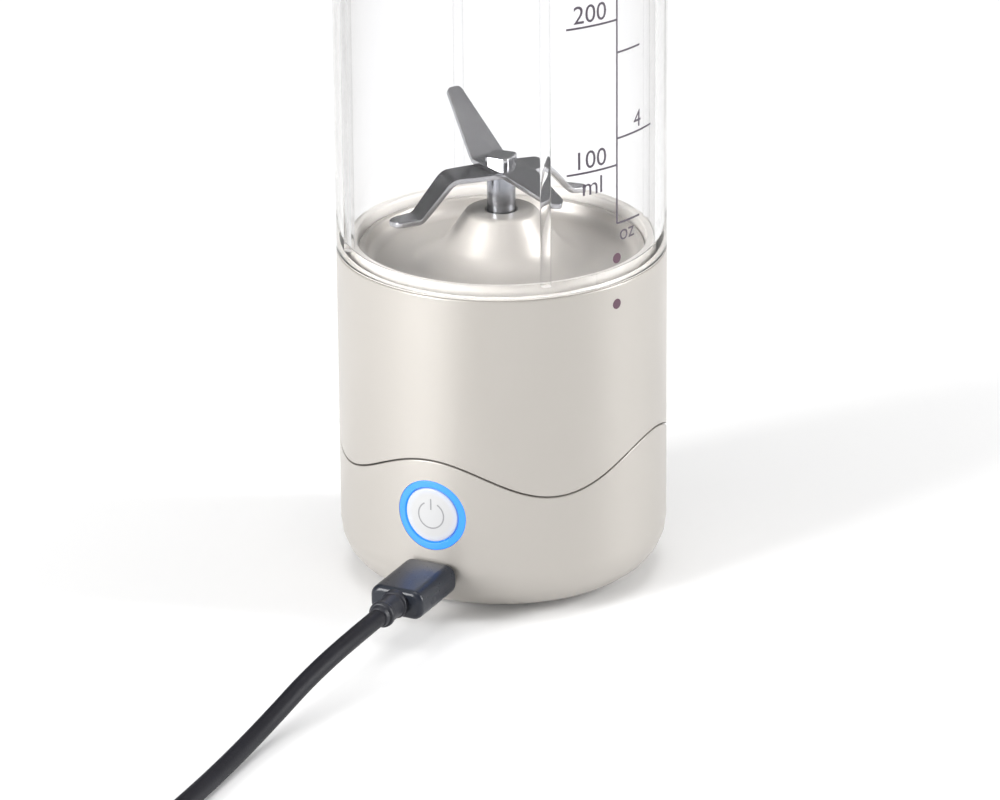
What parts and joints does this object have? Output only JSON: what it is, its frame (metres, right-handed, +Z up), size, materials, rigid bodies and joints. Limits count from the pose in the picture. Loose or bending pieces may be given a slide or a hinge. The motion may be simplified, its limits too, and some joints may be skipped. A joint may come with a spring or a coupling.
{
  "type": "portable blender",
  "caption": "Cordless personal blender: motor base with power button and USB-C charging lead, screw-on clear cup with a volume scale, and a lid with flip spout.",
  "frame": {"origin": "centre of the bottom, on the surface that the base stands on", "axes": "+Z up along the cup's axis; the power button and the charging port face -Y; +X to the right seen from the front"},
  "size_m": [0.0933, 0.2404, 0.2128],
  "materials": {
    "pearl_plastic": "gloss",
    "dark_rubber": "matte",
    "steel_screw": "satin",
    "bronze": "satin",
    "steel_plate": "satin",
    "black_plastic": "satin",
    "ferrite": "matte",
    "carbon": "matte",
    "copper": "satin",
    "core_steel": "satin",
    "bright_steel": "polished",
    "blade_steel": "satin",
    "cell_wrap": "gloss",
    "grey_plastic": "matte",
    "nickel": "satin",
    "circuit_board": "satin",
    "led_plastic": "gloss",
    "glow_plastic": "gloss",
    "red_wire": "satin",
    "black_wire": "satin",
    "clear_plastic": "polished",
    "clear_silicone": "satin",
    "black_rubber": "matte",
    "cord_jacket": "satin"
  },
  "bodies": {
    "base": {"lower_housing": "pearl_plastic", "upper_housing": "pearl_plastic", "blade_platform": "pearl_plastic", "foot_ring": "dark_rubber", "housing_screws": "steel_screw", "platform_screws": "steel_screw", "plate_screws": "steel_screw", "motor_screws": "steel_screw", "shaft_bushing": "bronze", "shaft_seal": "dark_rubber", "motor_plate": "steel_plate", "motor_can": "steel_plate", "motor_end_cap": "black_plastic", "magnets": "ferrite", "brushes": "carbon", "cell_left": "cell_wrap", "cell_right": "cell_wrap", "cell_tray": "grey_plastic", "cell_link": "nickel", "charge_board": "circuit_board", "main_board": "circuit_board", "usb_receptacle": "nickel", "receptacle_tongue": "black_plastic", "tact_switch": "black_plastic", "indicator_leds": "led_plastic", "power_inductor": "ferrite", "light_ring": "glow_plastic", "motor_lead_red": "red_wire", "motor_lead_black": "black_wire", "cell_lead_red": "red_wire", "cell_lead_black": "black_wire"},
    "rotor": {"motor_shaft": "bright_steel", "armature_core": "core_steel", "armature_windings": "copper", "commutator": "copper", "blade_sleeve": "bright_steel", "lower_blade": "blade_steel", "upper_blade": "blade_steel", "blade_nut": "bright_steel"},
    "button": {"power_button": "pearl_plastic", "switch_plunger": "grey_plastic"},
    "seal_ring": {"cup_seal": "clear_silicone"},
    "cup": {"cup": "clear_plastic"},
    "lid_ring": {"lid_seal": "clear_silicone"},
    "lid": {"lid": "pearl_plastic", "cap_pin": "bright_steel", "loop_pins": "bright_steel"},
    "cap": {"spout_cap": "pearl_plastic", "spout_seal": "clear_silicone"},
    "loop": {"carry_loop": "pearl_plastic"},
    "lead": {"plug_shell": "nickel", "plug_body": "black_plastic", "plug_relief": "black_rubber", "cord": "cord_jacket", "cord_coil": "cord_jacket", "usb_a_body": "black_plastic", "usb_a_shell": "nickel"}
  },
  "joints": [
    {"name": "blade_spin", "type": "hinge", "parent": "base", "child": "rotor", "pos_m": [0, 0, 0.085], "axis": [0, 0, 1], "continuous": true},
    {"name": "button_press", "type": "slide", "parent": "base", "child": "button", "axis": [0, 1, 0], "range_m": [0, 0.0006], "stiffness_N_per_m": 2000, "springref_m": -0.0005},
    {"name": "cup_lift", "type": "slide", "parent": "base", "child": "seal_ring", "axis": [0, 0, 1], "range_m": [0, 0.01001]},
    {"name": "cup_turn", "type": "hinge", "parent": "seal_ring", "child": "cup", "pos_m": [0, 0, 0.09], "axis": [0, 0, 1], "range_deg": [0, 150]},
    {"name": "lid_lift", "type": "slide", "parent": "cup", "child": "lid_ring", "axis": [0, 0, 1], "range_m": [0, 0.01001]},
    {"name": "lid_turn", "type": "hinge", "parent": "lid_ring", "child": "lid", "pos_m": [0, 0, 0.2], "axis": [0, 0, 1], "range_deg": [0, 150]},
    {"name": "cap_flip", "type": "hinge", "parent": "lid", "child": "cap", "pos_m": [0, -0.002, 0.2096], "axis": [-1, 0, 0], "range_deg": [0, 150]},
    {"name": "loop_swing", "type": "hinge", "parent": "lid", "child": "loop", "pos_m": [0, 0, 0.2068], "axis": [1, 0, 0], "range_deg": [0, 90]},
    {"name": "plug_slide", "type": "slide", "parent": "base", "child": "lead", "axis": [0, -1, 0], "range_m": [0, 0.012]}
  ],
  "couplings": [
    {"joint": "cup_lift", "follows": "cup_turn", "m_per_rad": 0.0038197},
    {"joint": "lid_lift", "follows": "lid_turn", "m_per_rad": 0.0038197}
  ]
}
